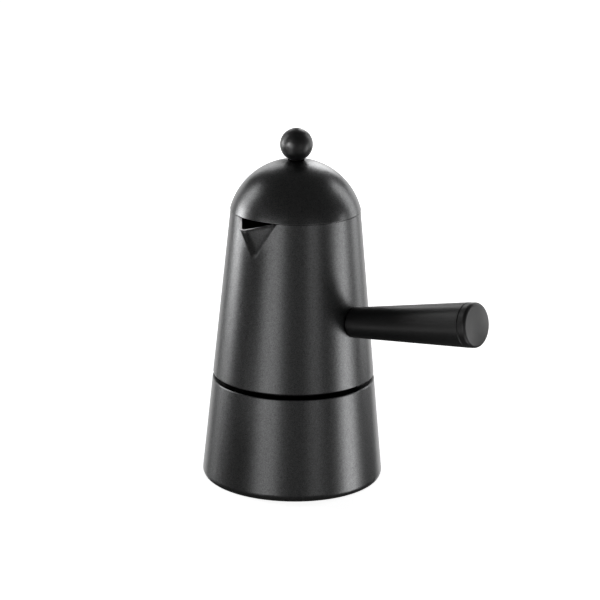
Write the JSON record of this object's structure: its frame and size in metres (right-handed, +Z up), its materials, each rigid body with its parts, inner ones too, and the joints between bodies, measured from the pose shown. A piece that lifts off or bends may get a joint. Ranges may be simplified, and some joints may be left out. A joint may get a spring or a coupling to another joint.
{
  "type": "stove-top moka pot",
  "caption": "Conical stove-top coffee maker: screw-off boiler with sprung safety valve, funnel, gasket and filter plate, collector with folded beak and stick handle, lift-off domed lid.",
  "frame": {"origin": "centre of the boiler's flat base, on the surface that the pot stands on", "axes": "+Z up along the pot's axis; +X along the handle; -Y towards the beak; the safety valve is on +Y"},
  "size_m": [0.1589, 0.1011, 0.1826],
  "materials": {
    "body_paint": "satin anthracite metallic lacquer with fine sparkle",
    "bare_aluminium": "bare turned and pressed aluminium",
    "steel": "bare stainless steel",
    "brass": "turned brass",
    "rubber": "pale silicone rubber",
    "black_plastic": "satin black moulded plastic"
  },
  "bodies": {
    "boiler": {"boiler": "body_paint", "valve_body": "brass", "valve_seal": "rubber", "valve_guide": "brass", "valve_spring": "steel"},
    "valve_pin": {"valve_pin": "steel"},
    "funnel": {"funnel": "bare_aluminium", "funnel_sieve": "bare_aluminium"},
    "seal": {"gasket": "rubber", "filter_plate": "bare_aluminium"},
    "collector": {"collector_shell": "body_paint", "collector_base": "bare_aluminium", "coffee_column": "bare_aluminium", "column_cap": "bare_aluminium", "handle_post": "body_paint", "handle_grip": "black_plastic", "handle_washer": "steel", "handle_bolt": "steel", "handle_end_cap": "black_plastic"},
    "lid": {"lid_dome": "body_paint", "lid_collar": "bare_aluminium", "lid_knob": "black_plastic", "knob_insert": "brass", "knob_washer": "steel", "knob_screw": "steel"}
  },
  "joints": [
    {"name": "valve_lift", "type": "slide", "parent": "boiler", "child": "valve_pin", "axis": [0, 1, 0], "range_m": [0, 0.0015], "stiffness_N_per_m": 600, "springref_m": -0.004, "deforming": ["valve_spring"]},
    {"name": "funnel_lift", "type": "slide", "parent": "boiler", "child": "funnel", "axis": [0, 0, 1], "range_m": [0, 0.065]},
    {"name": "collector_rise", "type": "slide", "parent": "funnel", "child": "seal", "axis": [0, 0, 1], "range_m": [0, 0.0076]},
    {"name": "collector_turn", "type": "hinge", "parent": "seal", "child": "collector", "pos_m": [0, 0, 0.0626], "axis": [0, 0, 1], "range_deg": [0, 900]},
    {"name": "lid_lift", "type": "slide", "parent": "collector", "child": "lid", "axis": [0, 0, 1], "range_m": [0, 0.06]}
  ],
  "couplings": [
    {"joint": "collector_rise", "follows": "collector_turn", "m_per_rad": 0.00047746}
  ]
}
